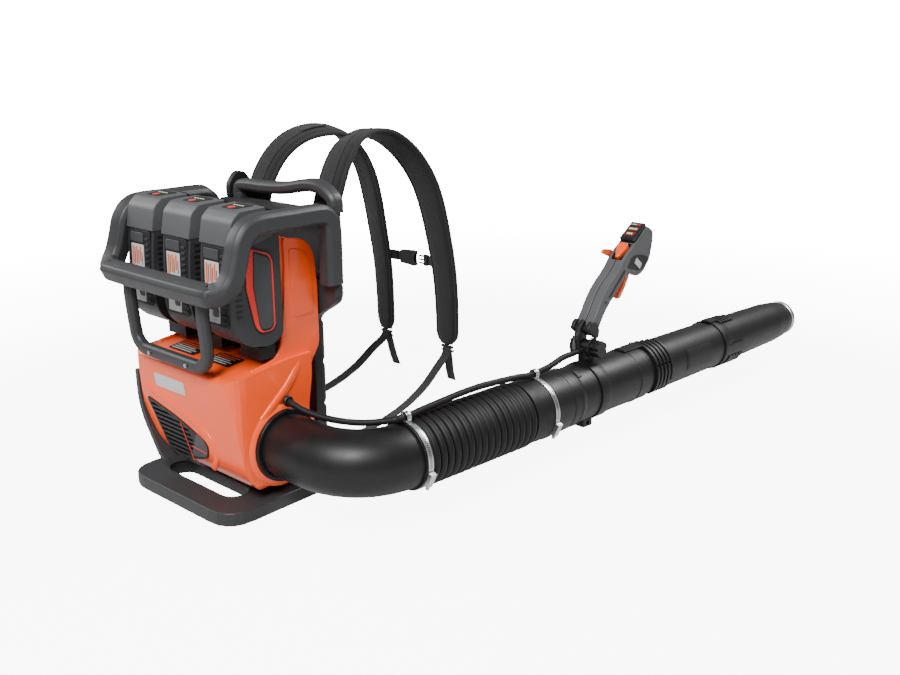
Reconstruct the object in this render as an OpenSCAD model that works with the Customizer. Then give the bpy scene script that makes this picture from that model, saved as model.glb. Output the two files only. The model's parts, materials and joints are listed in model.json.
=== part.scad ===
// Battery backpack leaf blower, standing on its base plate.
// The origin is the middle of the base plate's underside. +Z is up, -Y is the battery
// face, +Y is the wearer's side and the way the blow tube points, +X is the outlet side.

/* [Base and frame] */
// Width of the base plate
base_w = 340; // [300:5:360]
// Depth of the base plate
base_d = 305; // [290:5:330]
// Thickness of the base plate
base_t = 28; // [22:1:30]
// Corner radius of the base plate
base_corner = 60; // [30:5:70]
// Thickness of the back frame's panel
frame_t = 20; // [14:1:21]
// Thickness of the guard's bar
guard_bar = 39; // [30:1:39]

/* [Body and fan] */
// Half the width of the body cover
body_half = 161; // [158:1:163]
// Wall thickness of the covers
wall = 3.5; // [2.5:0.5:4]
// Radius of the fan wheel
fan_r = 80; // [70:1:82]
// Number of blades on the fan wheel
blades = 11; // [7:1:13]

/* [Batteries] */
// Distance between battery centres
battery_pitch = 119.5; // [112:0.5:120]
// Width of one battery
battery_w = 87; // [80:1:88]

/* [Blow tube] */
// Height of the blow tube's axis
tube_z = 130; // [124:1:132]
// Outside radius of the elbow
elbow_r = 63; // [60:0.5:64]
// Bend radius of the elbow
elbow_bend = 120; // [112:1:126]
// Angle between the blow tube and straight ahead
tube_angle = 5.3; // [4:0.1:6]
// Number of ribs on the bellows hose
ribs = 16; // [12:1:16]
// Outside radius of the first pipe
pipe_r = 62.5; // [60:0.5:62.5]
// Lean of the throttle handle
handle_lean = 36; // [30:1:40]

/* [Hidden] */
$fn = 64;

// ---- shared places ----
slot_w = 225;
slot_d = 54;
slot_y = -68;
fan_x = -10;
fan_z = 172;
outlet_y = -6;
outlet_x = 150;
elbow_run = 105.8;
tube_wall = 3;
front_y = -121;
front_lean = 7;
tower_front = 19;
frame_y = 110;
battery_x = [-battery_pitch, 0, battery_pitch];
// Stations along the blow tube, from the end of the elbow
clamp_near_s = 4;
rib_start = 22;
rib_pitch = 17.8;
hose_end = 376;
clamp_far_s = 360;
swivel_s = 425;
band_s = 536;
joint_1 = 665;
joint_2 = 1020;
tube_end = 1401;
// Pivot of the throttle handle
pivot = [406, 654, 224];
cable_r = 6.5;
// Outside radius of the hose's cuffs
cuff_r = 67.2;
strap_w = 74;

// ---- helpers ----
function unit(v) = v / norm(v);
function mirrored(points) = [for (p = points) [-p.x, p.y, p.z]];

// One point of a smooth curve between b and c
function curve_point(a, b, c, d, t) =
    0.5 * (2 * b + (c - a) * t + (2 * a - 5 * b + 4 * c - d) * t * t
    + (3 * b - a - 3 * c + d) * t * t * t);

// A smooth curve through all points
function smooth(p, steps = 4) = let (n = len(p)) concat(
    [for (i = [0 : n - 2], k = [0 : steps - 1])
        curve_point(p[max(i - 1, 0)], p[i], p[i + 1], p[min(i + 2, n - 1)], k / steps)],
    [p[n - 1]]);

function heading(p, i) = unit(p[min(i + 1, len(p) - 1)] - p[max(i - 1, 0)]);

// Side directions carried along a path without twisting
function carried(p, side, i = 0) = i == len(p) ? [] :
    let (t = heading(p, i), s = unit(side - t * (side * t)))
    concat([s], carried(p, s, i + 1));

// Cross-sections
function round_section(r, n = 10) = [for (k = [0 : n - 1]) r * [cos(k * 360 / n), sin(k * 360 / n)]];
function soft_section(w, t) = let (a = w / 2, b = t / 2, c = min(a, b) * 0.55) [
    [a, -b + c], [a, b - c], [a - c, b], [-a + c, b],
    [-a, b - c], [-a, -b + c], [-a + c, -b], [a - c, -b]];

// A closed solid that follows a path with one cross-section
module sweep(path, side, section) {
    n = len(section);
    m = len(path);
    s = carried(path, side);
    rings = [for (i = [0 : m - 1])
        let (t = heading(path, i), u = s[i], w = cross(t, u))
        for (q = section) path[i] + u * q[0] + w * q[1]];
    quads = [for (i = [0 : m - 2], j = [0 : n - 1])
        [i * n + j, (i + 1) * n + j, (i + 1) * n + (j + 1) % n, i * n + (j + 1) % n]];
    caps = [[for (j = [0 : n - 1]) j], [for (j = [n - 1 : -1 : 0]) (m - 1) * n + j]];
    polyhedron(rings, concat(quads, caps), convexity = 6);
}

// An outline whose corners [x, y, r] are rounded, with r held under half of each edge
function rounded(c, n = 5) = [for (i = [0 : len(c) - 1])
    let (m = len(c), p = [c[i][0], c[i][1]],
        a = [c[(i + m - 1) % m][0], c[(i + m - 1) % m][1]],
        b = [c[(i + 1) % m][0], c[(i + 1) % m][1]],
        r = min(c[i][2], 0.48 * norm(a - p), 0.48 * norm(b - p)),
        pa = p + r * unit(a - p), pb = p + r * unit(b - p))
    each (r == 0 ? [p] : [for (k = [0 : n])
        let (t = k / n) (1 - t) * (1 - t) * pa + 2 * t * (1 - t) * p + t * t * pb])];

// Extrudes an outline drawn in X and Z along +Y
module along_y(y0, y1) {
    translate([0, y1, 0]) rotate([90, 0, 0]) linear_extrude(y1 - y0) children();
}

// Extrudes an outline drawn in Y and Z along +X
module along_x(x0, x1) {
    translate([x0, 0, 0]) rotate([90, 0, 90]) linear_extrude(x1 - x0) children();
}

module ring(outer, inner, length) {
    difference() {
        cylinder(r = outer, h = length);
        translate([0, 0, -1]) cylinder(r = inner, h = length + 2);
    }
}

// A cylinder along +Y
module rod_y(r, y0, y1, x = 0, z = 0) {
    translate([x, y0, z]) rotate([-90, 0, 0]) cylinder(r = r, h = y1 - y0);
}

// A cylinder along +X
module rod_x(r, x0, x1, y = 0, z = 0) {
    translate([x0, y, z]) rotate([0, 90, 0]) cylinder(r = r, h = x1 - x0);
}

module block(low, high) {
    translate(low) cube(high - low);
}

module slot_2d(w, h) {
    hull() for (x = [-1, 1] * (w - h) / 2) translate([x, 0]) circle(d = h);
}

// Local frame of the blow tube: +Z runs along it from the elbow's end
tube_start = [outlet_x + elbow_run + elbow_bend * cos(tube_angle),
    outlet_y + elbow_bend * (1 - sin(tube_angle)), tube_z];
tube_dir = [sin(tube_angle), cos(tube_angle), 0];
function on_tube(s) = tube_start + s * tube_dir;
module on_blow_tube(s = 0) {
    translate(tube_start) rotate([0, 0, -tube_angle]) rotate([-90, 0, 0])
        translate([0, 0, s]) children();
}

// ---- base and frame ----
module base_plate() {
    color("#3c3c3e") linear_extrude(base_t) difference() {
        polygon(rounded([for (c = [[1, 1], [-1, 1], [-1, -1], [1, -1]])
            [c[0] * base_w / 2, c[1] * base_d / 2, base_corner]]));
        translate([-8, slot_y]) slot_2d(slot_w, slot_d);
    }
}

module rubber_mounts() {
    color("#1b1b1c") for (x = [-75, 75], y = [0, 52])
        translate([x, y, base_t]) cylinder(r = 14, h = 45 - base_t);
}

module back_frame() {
    color("#3f4042") {
        difference() {
            along_y(frame_y, frame_y + frame_t) polygon(rounded([
                [-128, base_t, 0], [128, base_t, 0], [128, 352, 20], [196, 394, 20],
                [196, 429, 10], [-196, 429, 10], [-196, 394, 20], [-128, 352, 20]]));
            for (x = [-60, 60], z = [60, 190])
                along_y(frame_y - 1, frame_y + frame_t + 1) polygon(rounded([
                    [x - 38, z, 12], [x + 38, z, 12], [x + 38, z + 108, 12], [x - 38, z + 108, 12]]));
        }
        difference() {
            along_y(frame_y + 8, frame_y + 48) polygon(rounded([
                [-164, 428, 0], [164, 428, 0], [164, 560, 0], [-164, 560, 0]]));
            along_y(frame_y + 7, frame_y + 40) polygon(rounded([
                [-156, 436, 10], [156, 436, 10], [156, 552, 10], [-156, 552, 10]]));
        }
        for (x = [-122, 108]) block([x, 96, base_t], [x + 14, frame_y, 90]);
    }
}

module carry_handle() {
    path = smooth([[-131, 147, 560.4], [-131, 147, 568], [-131, 147, 576], [-117, 147, 588], [-40, 147, 590],
        [20, 147, 594], [90, 147, 606], [128, 147, 604], [156, 147, 588], [162, 147, 575],
        [162, 147, 568], [162, 147, 560.4]], 3);
    color("#444548") sweep(path, [0, 1, 0], soft_section(32, 25));
    color("#2a2a2c") along_x(-158, -144) polygon(rounded([
        [128, 560.3, 6], [128, 592, 14], [150, 613, 6], [170, 612, 10], [187, 590, 8],
        [187, 578, 6], [166, 560.3, 6]]));
}

// Guard loop round the batteries: front bar, two side loops and their back posts
cage_side = [[185, 111, 430], [185, 111, 525], [185, 106, 550], [185, 92, 564], [185, 72, 567],
    [185, 10, 567], [185, -56, 567], [185, -82, 560], [185, -99, 540], [185, -108, 512],
    [185, -118, 482], [181, -132, 461], [164, -144, 452], [130, -149, 450]];
module cage_upper() {
    whole = concat(cage_side, [for (i = [len(cage_side) - 1 : -1 : 0])
        [-cage_side[i].x, cage_side[i].y, cage_side[i].z]]);
    color("#46474a") sweep(smooth(whole, 3), [0, 1, 0], soft_section(guard_bar, guard_bar));
}

module cage_lower() {
    leg = [[118, -138, 429], [118, -138, 415], [118, -138, 400], [118, -134, 345], [112, -133, 318],
        [92, -132, 303], [60, -132, 301]];
    whole = concat(leg, [for (i = [len(leg) - 1 : -1 : 0]) [-leg[i].x, leg[i].y, leg[i].z]]);
    color("#46474a") {
        sweep(smooth(whole, 3), [1, 0, 0], soft_section(25, 20));
        for (x = [-60, 60]) block([x - 12, -124, 283], [x + 12, -104, 299]);
    }
}

module frame_bolts() {
    color("#b5b7ba") {
        for (x = [-60, 60]) rod_y(4, -146, -142.3, x, 301);
        for (x = [-110, 110], z = [120, 330]) rod_y(6, frame_y - 6, frame_y, x, z);
    }
}

// ---- covers ----
// Front view outline of the body, drawn in X and Z, inset by i
module body_front_2d(i) {
    h = body_half - i;
    polygon(rounded([[-h, 310, 0], [h, 310, 0], [h, 45 + i, 25], [-88 + i / 2, 45 + i, 45],
        [-h, 158 + i / 2, 45]]));
}

// Side view outline of the body, drawn in Y and Z, inset by i
module body_side_2d(i) {
    polygon(rounded([[front_y + i, 281 - i, 12], [tower_front + i, 297 - i, 0],
        [73 - i, 297 - i, 0], [72 - i, 250, 10], [62 - i, 190, 10], [62 - i, 45 + i, 18],
        [-62 + i, 45 + i, 20],
        [-97 + i, 86 + i, 30]]));
}

// Plan outline of the body, drawn in X and Y, inset by i
module body_plan_2d(i) {
    h = body_half - i;
    polygon(rounded([[h, 80, 0], [-h, 80, 0], [-h, front_y + i, 30], [h, front_y + i, 34]]));
}

module body_solid(i) {
    intersection() {
        along_y(-130, 90) body_front_2d(i);
        along_x(-170, 170) body_side_2d(i);
        translate([0, 0, 40]) linear_extrude(280) body_plan_2d(i);
    }
    rod_x(84 - i, 90 + i, body_half - i, outlet_y, tube_z);
}

// Local frame of the sloping front face: X across, Z up the face, Y into the body
module on_front_face() {
    translate([0, front_y, 281]) rotate([front_lean, 0, 0]) children();
}

module teardrop_2d(i) {
    polygon(rounded([[-146 + i, -90 - i, 14], [-30, -116 - i, 40], [56 - i * 0.6, -152 - i * 0.6, 26],
        [46 - i * 0.6, -192 + i * 0.6, 22], [-50, -218 + i, 30], [-92 + i * 0.6, -204 + i * 0.6, 34]]));
}

module body_cover() {
    color("#f0512a") difference() {
        body_solid(0);
        body_solid(wall);
        rod_x(elbow_r + 3, 120, 170, outlet_y, tube_z);
        on_front_face() along_y(-6, 30) teardrop_2d(4);
        // open top under the battery tower
        block([-140, tower_front + 6, 285], [140, 66, 300]);
        // cable hole beside the outlet
        rod_x(9, 150, 170, 8, 214);
    }
}

module battery_tower() {
    color("#f0512a") difference() {
        along_x(-147, 147) polygon(rounded([[tower_front, 297.3, 0], [tower_front, 530, 8],
            [80, 512, 14], [99, 470, 16], [102, 390, 0], [102, 314, 10], [73, 297.3, 0]]));
        along_x(-147 + wall, 147 - wall) polygon(rounded([[tower_front + wall, 290, 0],
            [tower_front + wall, 526, 8], [78, 508, 14], [95.5, 469, 16], [98.5, 390, 0],
            [98.5, 316, 10], [69.5, 299, 0], [69.5, 290, 0]]));
        // cooling louvres low on both cheeks
        for (k = [0 : 3]) block([-160, 52, 312 + 12 * k], [160, 70, 317 + 12 * k]);
    }
}

module side_intake() {
    color("#3a3b3d") difference() {
        along_y(-112, 30) body_front_2d(-12);
        along_y(-113, 31) body_front_2d(-0.4);
        block([-60, -130, 0], [250, 60, 320]);
        block([-250, -130, 235], [250, 60, 320]);
        block([-250, -130, 0], [250, 60, 58]);
        for (k = [0 : 11]) block([-190, -98 + 10 * k, 120], [-150, -93 + 10 * k, 215]);
    }
}

module front_grille() {
    color("#242526") on_front_face() difference() {
        along_y(-2, 7) teardrop_2d(4.6);
        // open louvres on the wide side
        for (k = [0 : 10]) intersection() {
            along_y(-3, 8) teardrop_2d(12);
            block([-150, -4, -112 - 10 * k], [-18 + 4 * k, 9, -107 - 10 * k]);
        }
        // recess for the blank badge
        intersection() {
            along_y(-3, -0.5) teardrop_2d(9);
            block([20, -4, -230], [100, 0, -110]);
        }
    }
}

// ---- fan housing ----
// Scroll outline round the fan: radius grows from the cut-off to the outlet
module scroll_2d(extra) {
    steps = 40;
    translate([fan_x, fan_z]) polygon([for (k = [0 : steps - 1])
        let (a = 360 * k / steps, grown = a <= 270 ? a / 270 : (360 - a) / 90,
            r = 90 + 22 * grown + extra) r * [cos(a), sin(a)]]);
}

module volute_rear() {
    color("#2c2d2f") difference() {
        union() {
            along_y(-62, 50) scroll_2d(0);
            rod_x(58, fan_x, outlet_x - 0.5, outlet_y, tube_z);
        }
        along_y(-63, 47) scroll_2d(-3);
        rod_x(55, fan_x, outlet_x + 1, outlet_y, tube_z);
        rod_y(5, 40, 60, fan_x, fan_z);
        along_y(-70, -61.9) square([600, 600], center = true);
    }
}

module volute_front() {
    color("#2c2d2f") difference() {
        union() {
            along_y(-65.2, -62.2) scroll_2d(0);
            rod_y(66, -72, -63, fan_x, fan_z);
        }
        rod_y(60, -80, -50, fan_x, fan_z);
    }
}

module outlet_collar() {
    color("#1d1d1e") translate([body_half + 0.3, outlet_y, tube_z]) rotate([0, 90, 0])
        ring(72, elbow_r + 0.3, 13);
}

// Middle line of the elbow, run on by extra at both ends
function elbow_route(extra) = concat(
    [[outlet_x - extra, outlet_y, tube_z], [outlet_x + 40, outlet_y, tube_z]],
    [for (k = [0 : 12]) let (a = (90 - tube_angle) * k / 12)
        [outlet_x + elbow_run + elbow_bend * sin(a), outlet_y + elbow_bend * (1 - cos(a)), tube_z]],
    [on_tube(20 + extra)]);

module elbow_duct() {
    color("#1c1c1d") difference() {
        sweep(elbow_route(0), [0, 0, 1], round_section(elbow_r, 28));
        sweep(elbow_route(2), [0, 0, 1], round_section(elbow_r - tube_wall, 28));
    }
}

// ---- motor and fan wheel ----
module motor_stator() {
    color("#8c5a2b") difference() {
        rod_y(36, 20, 46.8, fan_x, fan_z);
        rod_y(11.05, 10, 50, fan_x, fan_z);
        translate([fan_x, 0, fan_z]) for (k = [0 : 11]) rotate([0, 30 * k, 0])
            block([22, 15, -2], [33, 50, 2]);
    }
}

module motor_bearings() {
    color("#c2c4c6") for (y = [22, 37]) difference() {
        rod_y(11, y, y + 7, fan_x, fan_z);
        rod_y(4.06, y - 1, y + 8, fan_x, fan_z);
    }
}

module motor_rotor() {
    color("#8f9194") {
        rod_y(4, -20, 46, fan_x, fan_z);
        difference() {
            rod_y(44, 14, 43, fan_x, fan_z);
            rod_y(38, 18, 44, fan_x, fan_z);
        }
        rod_y(9, -26, -20, fan_x, fan_z);
    }
}

module impeller() {
    color("#161617") {
        difference() {
            union() {
                rod_y(fan_r, 9, 12, fan_x, fan_z);
                rod_y(17, -19.5, 10, fan_x, fan_z);
            }
            rod_y(4.02, -30, 20, fan_x, fan_z);
        }
        translate([fan_x, 0, fan_z]) for (k = [0 : blades - 1]) rotate([0, 360 * k / blades, 0])
            along_y(-50, 9.5) intersection() {
                difference() {
                    circle(fan_r);
                    circle(34);
                }
                translate([34, 26]) difference() {
                    circle(42);
                    circle(39.5);
                }
                translate([20, -60]) square([80, 84]);
            }
        difference() {
            rod_y(fan_r, -52.5, -49.8, fan_x, fan_z);
            rod_y(56, -60, -40, fan_x, fan_z);
        }
    }
}

module controller_board() {
    color("#1f5a3a") block([-70, 52, 330], [70, 55, 450]);
    color("#9fa2a6") for (x = [-45, -15, 15, 45]) rod_y(10, 55, 80, x, 350);
    color("#9fa2a6") block([-55, 40, 390], [55, 52, 440]);
}

// ---- harness ----
module back_pad() {
    color("#232324") difference() {
        translate([0, 0, 62]) linear_extrude(350) polygon(rounded([[-112, 130.5, 0],
            [112, 130.5, 0], [112, 164, 18], [30, 158, 20], [-30, 158, 20], [-112, 164, 18]]));
        for (z = [150, 240, 330]) block([-120, 156, z], [120, 170, z + 14]);
    }
}

strap_route = [[106, 165.6, 505], [106, 174, 560], [104, 192, 606], [96, 222, 650], [84, 262, 680],
    [74, 316, 692], [74, 372, 684], [80, 425, 648], [88, 466, 595], [94, 492, 535],
    [98, 514, 450], [100, 530, 370], [101, 538, 290], [101, 541, 190]];
module strap(route, side) {
    color("#1e1e1f") sweep(smooth(route, 3), side, soft_section(strap_w, 13));
}
module strap_right() { strap(strap_route, [1, 0, 0]); }
module strap_left() { strap(mirrored(strap_route), [1, 0, 0]); }

webbing_route = [[101, 541, 189.5], [103, 532, 170], [108, 500, 150], [113, 440, 112],
    [118, 360, 84], [123, 270, 72], [126.5, 190, 70], [126.5, 131.2, 70]];
module webbing(route) {
    color("#191919") sweep(smooth(route, 3), [1, 0, 0], soft_section(25, 3.2));
}
module webbing_right() {
    webbing(webbing_route);
    // loose tail below the adjuster
    color("#191919") sweep(smooth([[98, 540, 189], [97, 548, 160], [94, 556, 125], [92, 566, 96]], 3),
        [1, 0, 0], soft_section(25, 3));
}
module webbing_left() {
    webbing(mirrored(webbing_route));
    color("#191919") sweep(smooth([[-98, 540, 189], [-97, 548, 160], [-94, 556, 125],
        [-92, 566, 96]], 3), [1, 0, 0], soft_section(25, 3));
}

chest_z = 385;
chest_y = 536;
module buckle_female() {
    color("#1b1b1c") {
        block([-70, chest_y - 1.5, chest_z - 11], [-38, chest_y + 1.5, chest_z + 11]);
        difference() {
            along_y(chest_y - 6, chest_y + 6) polygon(rounded([[-40, chest_z - 15, 3],
                [8, chest_z - 18, 4], [2, chest_z, 6], [8, chest_z + 18, 4],
                [-40, chest_z + 15, 3]]));
            block([-24, chest_y - 3.5, chest_z - 12], [12, chest_y + 3.5, chest_z + 12]);
        }
    }
}

module buckle_male() {
    color("#1b1b1c") {
        block([40, chest_y - 1.5, chest_z - 11], [70, chest_y + 1.5, chest_z + 11]);
        block([34, chest_y - 4, chest_z - 13], [44, chest_y + 4, chest_z + 13]);
        for (z = [-10, -1.5, 7]) block([16, chest_y - 2.5, chest_z + z], [35, chest_y + 2.5, chest_z + z + 3]);
    }
}

// ---- batteries ----
module battery_side_2d(i) {
    polygon(rounded([[-95 + i, 574 - i, 8], [-78, 588 - i, 6], [-22, 591 - i, 2],
        [-19, 579 - i, 0], [1, 565 - i, 3], [6 - i, 545, 4], [6 - i, 350 + i, 8],
        [-22, 332 + i, 14], [-72, 340 + i, 14], [-102 + i, 366 + i, 14], [-111 + i, 402, 20],
        [-105 + i, 500, 20]]));
}

module battery_case(x) {
    translate([x, 0, 0]) difference() {
        along_x(-battery_w / 2, battery_w / 2) battery_side_2d(0);
        along_x(-battery_w / 2 + 3, battery_w / 2 - 3) polygon([[-92, 560], [-12, 560],
            [-12, 349], [-70, 349], [-98, 372], [-104, 404]]);
        // slide groove for the rail
        block([-7, 0, 320], [7, 8, 532]);
        block([-13, -6, 320], [13, 1.5, 532]);
        // seat of the gauge button
        translate([0, -62, 584]) cylinder(r = 5.4, h = 12);
    }
}

module cells(x) {
    color("#3f7f5a") translate([x, 0, 0])
        for (cx = [-23, 0, 23], cy = [-74, -53, -32], layer = [0 : 2])
            translate([cx, cy, 362 + 66 * layer]) cylinder(r = 9.2, h = 64);
}

module gauge_button(x) {
    color("#d8342c") translate([x, -62, 586.2]) cylinder(r = 5, h = 6.4);
}

module latch(x) {
    color("#202021") translate([x, 0, 0]) {
        along_x(-17, 17) polygon(rounded([[-18.5, 581, 1], [-17.5, 592, 3], [-4, 589, 4],
            [9, 577, 3], [9, 569, 2], [3, 566, 2]]));
        // hinge barrel
        rod_x(2.5, -19, 19, 3, 570);
    }
}

module battery_left() { color("#4a4b4e") battery_case(battery_x[0]); }
module battery_middle() { color("#4a4b4e") battery_case(battery_x[1]); }
module battery_right() { color("#4a4b4e") battery_case(battery_x[2]); }
module cells_left() { cells(battery_x[0]); }
module cells_middle() { cells(battery_x[1]); }
module cells_right() { cells(battery_x[2]); }
module button_left() { gauge_button(battery_x[0]); }
module button_middle() { gauge_button(battery_x[1]); }
module button_right() { gauge_button(battery_x[2]); }
module latch_left() { latch(battery_x[0]); }
module latch_middle() { latch(battery_x[1]); }
module latch_right() { latch(battery_x[2]); }

module battery_rails() {
    color("#1f1f20") for (x = battery_x) translate([x, 0, 0]) {
        block([-6, 0.5, 345], [6, tower_front - 0.2, 520]);
        block([-12, -5, 345], [12, 0.9, 520]);
        // terminal block under the battery
        block([-30, -40, 304], [30, -4, 328]);
        block([-30, -12, 298], [30, tower_front - 0.2, 312]);
    }
}

// ---- hose and pipes ----
module hose_clamp_near() {
    color("#c9cbce") on_blow_tube(clamp_near_s) clamp_band(cuff_r + 0.2);
}
module hose_clamp_far() {
    color("#c9cbce") on_blow_tube(clamp_far_s) clamp_band(cuff_r + 0.2);
}

// Worm-drive band with its screw housing and the wire loop that guides the cable
module clamp_band(r) {
    ring(r + 1.2, r + 0.05, 12);
    rotate([0, 0, 25]) translate([r + 1, -16, 0]) cube([8, 32, 13]);
    rotate([0, 0, 25]) translate([r + 5, 14, 6.5]) rotate([-90, 0, 0]) cylinder(r = 4, h = 9);
    // wire loop
    rotate([0, 0, -90]) translate([r + cable_r + 3.7, 0, 6]) difference() {
        union() {
            cylinder(r = cable_r + 3.4, h = 5, center = true);
            translate([-cable_r - 2.1, 0, 0]) cube([3, 8, 5], center = true);
        }
        cylinder(r = cable_r + 0.8, h = 8, center = true);
    }
}

// Cuffs and ribs of the flexible hose, as one turned profile
module bellows_hose() {
    inner = elbow_r - 3.2;
    hollow = elbow_r + 0.15;
    color("#19191a") on_blow_tube(0) rotate_extrude() polygon(concat(
        [[hollow, 0], [67.2, 0], [67.2, rib_start - 1]],
        [for (k = [0 : ribs - 1]) each
            let (s = rib_start + k * rib_pitch) [[62.5, s], [62.5, s + 5], [70, s + 8],
                [70, s + 13.5], [62.5, s + 16.5]]],
        [[62.5, rib_start + ribs * rib_pitch], [67.2, rib_start + ribs * rib_pitch + 3],
            [67.2, hose_end], [hollow, hose_end], [hollow, hose_end - 40], [inner, hose_end - 42],
            [inner, 24], [hollow, 22]]));
}

module swivel_cuff() {
    color("#1b1b1c") on_blow_tube(hose_end - 38) rotate_extrude() polygon([[60, 0], [63, 0],
        [63, 39], [66.5, 39], [66.5, swivel_s - hose_end + 36], [61, swivel_s - hose_end + 36],
        [61, 60], [60, 60]]);
}

module first_pipe() {
    color("#1e1e1f") on_blow_tube(swivel_s) rotate_extrude() polygon([[57, -20], [60.9, -20],
        [60.9, -1], [65, 0], [65, 34], [pipe_r + 0.6, 42], [pipe_r, 44], [pipe_r, joint_1 - swivel_s],
        [57, joint_1 - swivel_s]]);
}

module middle_pipe() {
    length = joint_2 - joint_1;
    color("#1e1e1f") {
        on_blow_tube(joint_1) rotate_extrude() polygon([[54, -16], [56.9, -16], [56.9, 0.2],
            [pipe_r + 0.8, 0.2], [pipe_r + 0.8, 40], [60.5, 46], [59, length - 30],
            [59, length + 22], [56, length + 22], [56, 60]]);
        // gripping ribs, wrapped from the top round the outer side
        for (k = [0 : 4]) on_blow_tube(joint_1 + 58 + 14 * k) intersection() {
            ring(63.5, 57.6, 6);
            translate([0, -70, -1]) cube([70, 118, 8]);
        }
    }
}

module nozzle_pipe() {
    length = tube_end - joint_2;
    color("#1c1c1d") {
        on_blow_tube(joint_2) rotate_extrude() polygon([[59.06, 0.4], [62, 0.4], [62, 14],
            [60.5, 16], [60, 26], [58, 44], [54, length - 90], [50, length - 40],
            [45, length - 16], [45, length - 12], [42, length - 12], [47, length - 42],
            [51, length - 92], [55, 44], [56, 23], [59.06, 23]]);
        // gripping ribs on the top and the lower side
        for (a = [-90, 40], k = [0 : 3]) on_blow_tube(joint_2 + 28 + 14 * k)
            rotate([0, 0, a]) intersection() {
                ring(63, 56.8, 8);
                translate([0, -22, -1]) cube([70, 44, 10]);
            }
    }
}

module nozzle_ring() {
    color("#b9bbbe") on_blow_tube(tube_end - 11.7) rotate_extrude() polygon([[41.8, 0],
        [46.5, 0], [46, 8], [43.5, 11.7], [41.8, 11.7]]);
}

// ---- throttle handle ----
// Local frame of the handle: X across, Y forward of the grip, Z up the grip
module on_handle() {
    translate(pivot) rotate([-handle_lean, 0, 0]) children();
}

module handle_side_2d(i) {
    polygon(rounded([[-36 + i, 26, 4], [-31 + i, 60, 14], [-34 + i, 100, 30],
        [-29 + i, 140, 30], [-13 + i, 180, 20], [-8 + i, 225, 14], [10 + i, 268, 6],
        [28 + i, 322 - i, 8], [62 - i, 326 - i, 10], [78 - i, 302, 10], [92 - i, 268, 12],
        [86 - i, 232, 10], [70 - i, 211 + i, 8], [40, 203 + i, 8], [22 - i, 192, 8],
        [14 - i, 150, 10], [2 - i, 112, 20], [-4 - i, 76, 20], [-i, 26, 4]], 3));
}

// Half the width of the handle, and the hub that turns on the clamp's bolt
grip_half = 22;
hub_r = 20;

// side is -1 for the left half and 1 for the right half
module handle_half(side) {
    on_handle() difference() {
        union() {
            along_x(side > 0 ? 0.1 : -grip_half, side > 0 ? grip_half : -0.1) handle_side_2d(0);
            if (side < 0) {
                rod_x(hub_r, -19, -1, 0, 0);
                along_x(-19, -1) polygon([[-20, 0], [20, 0], [-4, 30], [-32, 30]]);
            }
        }
        along_x(side > 0 ? 0 : 4 - grip_half, side > 0 ? grip_half - 4 : 0) handle_side_2d(4);
        // slot for the trigger and its sweep
        block([-6.5, 24, 128], [6.5, 70, 224]);
        // seats of the display and the thumb button
        block([-13.2, -20, 213], [13.2, 12, 262]);
        along_x(-18.3, 18.3) polygon([[-2, 268], [23, 326], [31, 322], [14, 266]]);
        rod_x(4.06, -30, -10, 14, 228);
        rod_x(2.05, -30, 30, 46, 214);
        rod_x(4.05, -30, 30, 0, 0);
    }
}
module handle_left() { color("#5a5b5d") handle_half(-1); }
module handle_right() { color("#5a5b5d") handle_half(1); }

module handle_display() {
    color("#141415") on_handle() along_x(-18, 18) polygon([[-1.2, 268.8], [22.8, 324.6],
        [29.8, 321.4], [13, 267]]);
}

module throttle_trigger() {
    color("#f4511e") on_handle() union() {
        along_x(-6, 6) polygon(rounded([[40, 206, 3], [41, 219, 4], [51, 219, 4], [60, 206, 4],
            [62, 175, 20], [60, 148, 5], [52, 141, 3], [47, 146, 4], [51, 172, 20], [48, 196, 8]]));
        rod_x(2, -21.5, 21.5, 46, 214);
    }
}

module cruise_lever() {
    color("#f4511e") on_handle() {
        rod_x(4, -24, -14, 14, 228);
        along_x(-29, -23.5) polygon(rounded([[8, 222, 4], [22, 226, 5], [22, 238, 5],
            [-6, 236, 5], [-34, 222, 5], [-34, 212, 5]]));
    }
}

module thumb_button() {
    color("#f4511e") on_handle() along_x(-13, 13) polygon(rounded([[-11, 216, 3],
        [-9, 240, 8], [3, 259, 2], [8, 258, 1], [2, 216, 1]]));
}

// Band round the first pipe, with the ear that carries the handle's bolt
module handle_clamp() {
    ear = [pivot.x + 0.5, pivot.x + 18.5];
    color("#1a1a1b") difference() {
        union() {
            on_blow_tube(band_s - 17) cylinder(r = pipe_r + 3.2, h = 34);
            block([ear[0], pivot.y - 22, 150], [ear[1], pivot.y + 16, pivot.z]);
            rod_x(16, ear[0], pivot.x + 26.5, pivot.y, pivot.z);
            // foot with a lashing eye
            on_blow_tube(band_s - 17) translate([-14, 40, 0]) cube([28, 44, 30]);
        }
        on_blow_tube(band_s - 60) cylinder(r = pipe_r + 0.02, h = 120);
        on_blow_tube(band_s - 2) translate([0, pipe_r + 13, 0]) rotate([0, 90, 0])
            cylinder(r = 5, h = 60, center = true);
        rod_x(4.05, pivot.x - 10, pivot.x + 40, pivot.y, pivot.z);
    }
}

module clamp_knob() {
    color("#151516") {
        difference() {
            rod_x(19, pivot.x + 27, pivot.x + 49, pivot.y, pivot.z);
            for (a = [0 : 60 : 300]) translate([pivot.x + 26, pivot.y, pivot.z])
                rotate([a, 0, 0]) translate([0, 22, 0]) rotate([0, 90, 0]) cylinder(r = 6, h = 24);
        }
        rod_x(4, pivot.x - 20, pivot.x + 27.5, pivot.y, pivot.z);
    }
}

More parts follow.
